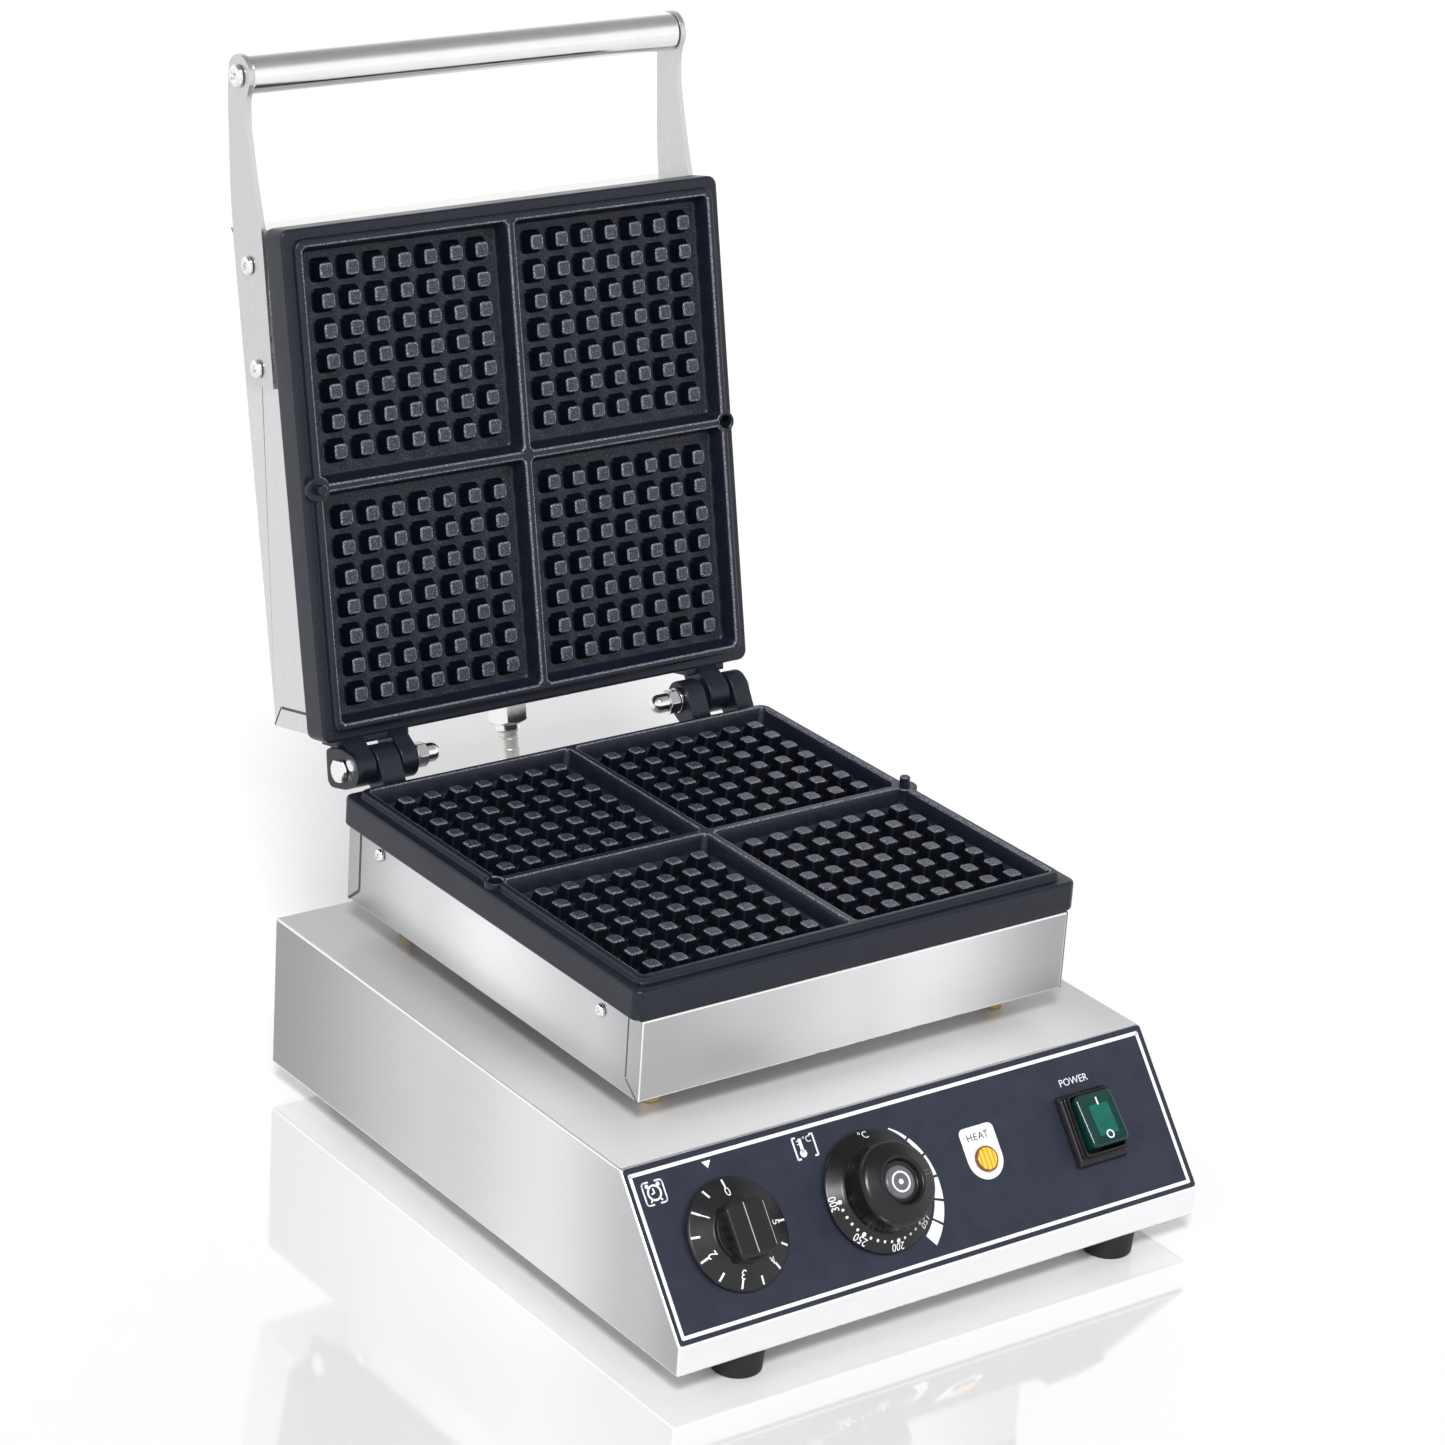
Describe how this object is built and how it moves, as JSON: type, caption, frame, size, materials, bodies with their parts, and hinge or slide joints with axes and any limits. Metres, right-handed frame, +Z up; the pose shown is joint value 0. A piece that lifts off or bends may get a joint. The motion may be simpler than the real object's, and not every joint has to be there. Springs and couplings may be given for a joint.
{
  "type": "waffle maker",
  "caption": "Countertop waffle maker: sloped steel base with timer and thermostat dials, heated lower plate, and a hinged lid that carries the matching upper plate and a tubular handle.",
  "frame": {"origin": "on the table under the middle of the whole machine's width and depth, at the level of the underside of the feet, lid open", "axes": "+X to the machine's right, +Y to its back, +Z up"},
  "size_m": [0.26, 0.3936, 0.4298],
  "materials": {
    "brushed_stainless": "fine brushed stainless sheet with bright sheared edges",
    "bright_steel": "polished stainless tube, screws, nuts and hose fittings",
    "nonstick_casting": "blue-black non-stick coating with a fine speckle on cast aluminium",
    "navy_panel": "dark navy printed panel, satin",
    "black_plastic": "black moulded plastic, semi-gloss",
    "black_rubber": "matte black rubber",
    "brass": "yellow brass hexagon standoffs",
    "green_plastic": "translucent green plastic",
    "amber_plastic": "translucent amber plastic",
    "grey_plastic": "grey moulded plastic of the inner electrical parts",
    "element_sheath": "annealed steel sheath of the heating elements",
    "insulation_wool": "pressed mineral wool"
  },
  "bodies": {
    "base": {"base_shell": "brushed_stainless", "bottom_plate": "brushed_stainless", "back_panel": "brushed_stainless", "control_fascia": "navy_panel", "foot_front_left": "black_rubber", "foot_front_right": "black_rubber", "foot_rear_left": "black_rubber", "foot_rear_right": "black_rubber", "foot_screw_front_left": "bright_steel", "foot_screw_front_right": "bright_steel", "foot_screw_rear_left": "bright_steel", "foot_screw_rear_right": "bright_steel", "heater_tray": "brushed_stainless", "standoff_front_left": "brass", "standoff_front_right": "brass", "standoff_rear_left": "brass", "standoff_rear_right": "brass", "tray_screw_front_left": "bright_steel", "tray_screw_front_right": "bright_steel", "tray_screw_rear_left": "bright_steel", "tray_screw_rear_right": "bright_steel", "lower_plate": "nonstick_casting", "lower_heating_element": "element_sheath", "lower_insulation": "insulation_wool", "timer_body": "grey_plastic", "thermostat_body": "grey_plastic", "thermostat_bulb": "bright_steel", "switch_frame": "black_plastic", "indicator_lens": "amber_plastic", "indicator_lamp": "grey_plastic", "terminal_block": "grey_plastic", "mains_gland": "black_plastic", "hose_gland_base": "bright_steel", "conduit_hose": "bright_steel"},
    "lid": {"upper_plate": "nonstick_casting", "lid_housing": "brushed_stainless", "upper_heating_element": "element_sheath", "upper_insulation": "insulation_wool", "handle_tube": "bright_steel", "handle_bracket_left": "brushed_stainless", "handle_bracket_right": "brushed_stainless", "handle_screw_left": "bright_steel", "handle_screw_right": "bright_steel", "bracket_screw_upper_left": "bright_steel", "bracket_screw_upper_right": "bright_steel", "bracket_screw_lower_left": "bright_steel", "bracket_screw_lower_right": "bright_steel", "hinge_bolt_left": "bright_steel", "hinge_bolt_right": "bright_steel", "hinge_washer_left": "bright_steel", "hinge_washer_right": "bright_steel", "hinge_nut_left": "bright_steel", "hinge_nut_right": "bright_steel", "hose_gland_lid": "bright_steel", "hose_ferrule": "bright_steel"},
    "timer_dial": {"timer_shaft": "bright_steel", "timer_knob": "black_plastic"},
    "thermostat_dial": {"thermostat_shaft": "bright_steel", "thermostat_knob": "black_plastic"},
    "rocker": {"switch_rocker": "green_plastic"}
  },
  "joints": [
    {"name": "lid_hinge", "type": "hinge", "parent": "base", "child": "lid", "pos_m": [0, 0.1011, 0.1433], "axis": [1, 0, 0], "range_deg": [0, 102.3]},
    {"name": "timer_turn", "type": "hinge", "parent": "base", "child": "timer_dial", "pos_m": [-0.0905, -0.17975, 0.05704], "axis": [0, 0.7791, -0.6269], "range_deg": [0, 270]},
    {"name": "thermostat_turn", "type": "hinge", "parent": "base", "child": "thermostat_dial", "pos_m": [-0.0224, -0.17962, 0.05719], "axis": [0, 0.7791, -0.6269], "range_deg": [0, 270]},
    {"name": "rocker_tilt", "type": "hinge", "parent": "base", "child": "rocker", "pos_m": [0.0879, -0.17441, 0.05505], "axis": [1, 0, 0], "range_deg": [0, 12]}
  ]
}
